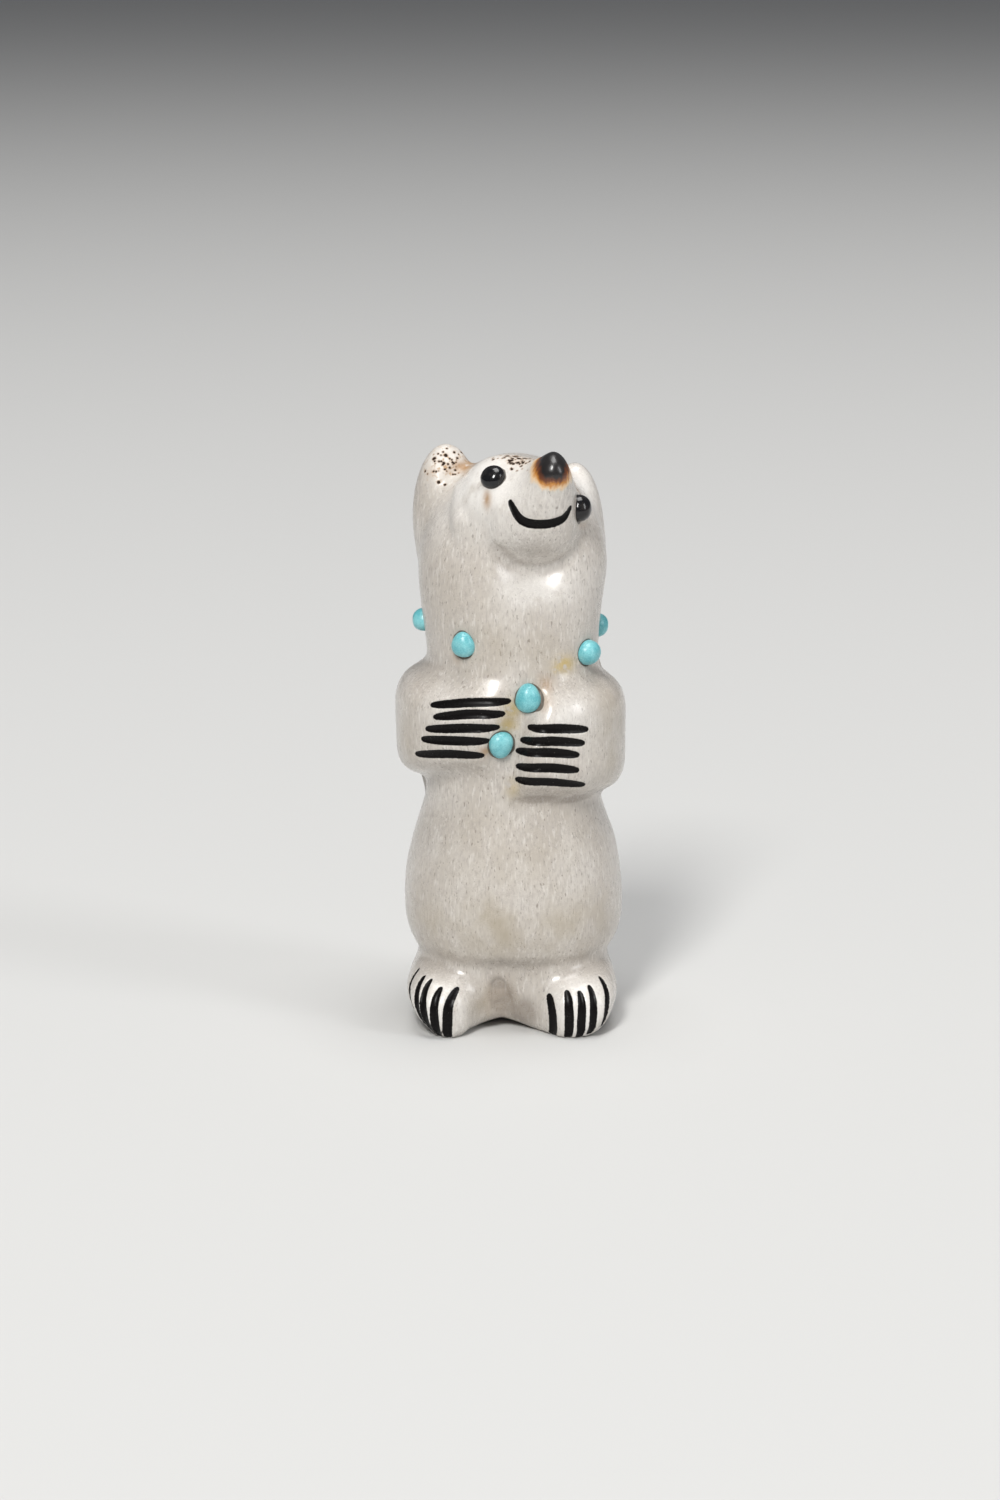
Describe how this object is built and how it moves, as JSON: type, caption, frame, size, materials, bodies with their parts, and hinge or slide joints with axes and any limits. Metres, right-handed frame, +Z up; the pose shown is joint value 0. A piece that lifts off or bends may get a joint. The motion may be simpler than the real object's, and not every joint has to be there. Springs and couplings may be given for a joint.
{
  "type": "carved bear figure",
  "caption": "Small standing bear carved from antler, looking up, with jet eyes, turquoise cabochons round the neck and on the chest, and inked claw and mouth cuts.",
  "frame": {"origin": "on the ground, under the middle of the figure", "axes": "+Z up, the front of the figure faces -Y, +X is to the right as the figure is seen from the front"},
  "size_m": [0.0225, 0.0211, 0.057],
  "materials": {
    "antler": "polished antler, off-white with fine grey grain",
    "jet": "polished black stone",
    "turquoise": "polished pale blue-green stone"
  },
  "bodies": {
    "root": {"bear": "antler", "eye_left": "jet", "eye_right": "jet", "stone_chest": "turquoise", "stone_between_paws": "turquoise", "stone_front_left": "turquoise", "stone_front_right": "turquoise", "stone_side_left": "turquoise", "stone_side_right": "turquoise", "stone_back_left": "turquoise", "stone_back_right": "turquoise"}
  },
  "joints": []
}
